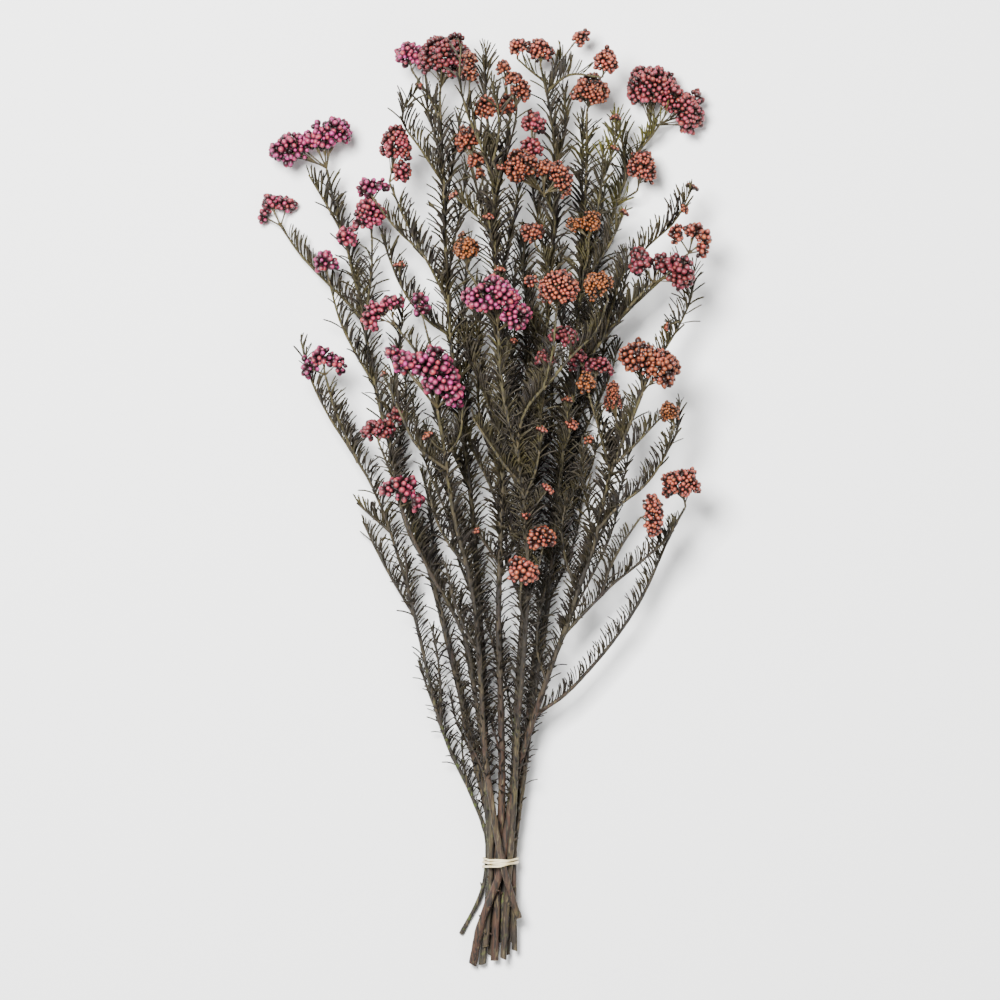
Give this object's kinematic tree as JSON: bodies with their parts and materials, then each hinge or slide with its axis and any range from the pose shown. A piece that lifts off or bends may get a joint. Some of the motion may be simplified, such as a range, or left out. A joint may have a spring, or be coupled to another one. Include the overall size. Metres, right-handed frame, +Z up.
{
  "type": "bunch of preserved rice flower",
  "caption": "Long leafy stems with clusters of small round buds at their tips, fanning out above a tie band and lying on a table.",
  "frame": {"origin": "middle of the bunch's plan, at the level of the table that it lies on", "axes": "+Y along the bunch from the cut ends to the flower heads, +X to the right as the picture shows it, +Z up from the table towards the viewer"},
  "size_m": [0.2875, 0.5985, 0.1181],
  "materials": {
    "coral_buds": "dry matt buds",
    "dark_rose_buds": "dry matt buds",
    "magenta_buds": "dry matt buds",
    "orange_buds": "dry matt buds",
    "pink_buds": "dry matt buds",
    "rose_buds": "dry matt buds",
    "rust_buds": "dry matt buds",
    "bark_and_needles": "dry matt bark and needle leaves",
    "tie": "satin"
  },
  "bodies": {
    "root": {"head_01": "magenta_buds", "head_02": "pink_buds", "head_03": "magenta_buds", "head_04": "magenta_buds", "head_05": "pink_buds", "head_06": "pink_buds", "head_07": "rose_buds", "head_08": "magenta_buds", "head_09": "dark_rose_buds", "head_10": "magenta_buds", "head_11": "magenta_buds", "head_12": "pink_buds", "head_13": "magenta_buds", "head_14": "dark_rose_buds", "head_15": "pink_buds", "head_16": "magenta_buds", "head_17": "coral_buds", "head_18": "orange_buds", "head_19": "dark_rose_buds", "head_20": "coral_buds", "head_21": "coral_buds", "head_22": "rust_buds", "head_23": "rust_buds", "head_24": "rust_buds", "head_25": "rust_buds", "head_26": "orange_buds", "head_27": "coral_buds", "head_28": "coral_buds", "head_29": "coral_buds", "head_30": "coral_buds", "head_31": "rose_buds", "head_32": "rust_buds", "head_33": "rust_buds", "head_34": "rust_buds", "head_35": "orange_buds", "head_36": "rose_buds", "head_37": "coral_buds", "head_38": "dark_rose_buds", "head_39": "coral_buds", "head_40": "dark_rose_buds", "head_41": "orange_buds", "head_42": "rust_buds", "head_43": "rust_buds", "head_44": "orange_buds", "head_45": "coral_buds", "head_46": "coral_buds", "stem_outer_left": "bark_and_needles", "stem_far_left": "bark_and_needles", "stem_top_left": "bark_and_needles", "stem_front_left": "bark_and_needles", "stem_mid_left": "bark_and_needles", "stem_centre": "bark_and_needles", "stem_centre_top": "bark_and_needles", "stem_centre_right": "bark_and_needles", "stem_top_right": "bark_and_needles", "stem_far_right": "bark_and_needles", "stem_right": "bark_and_needles", "stem_outer_right": "bark_and_needles", "tie_band": "tie"}
  },
  "joints": []
}
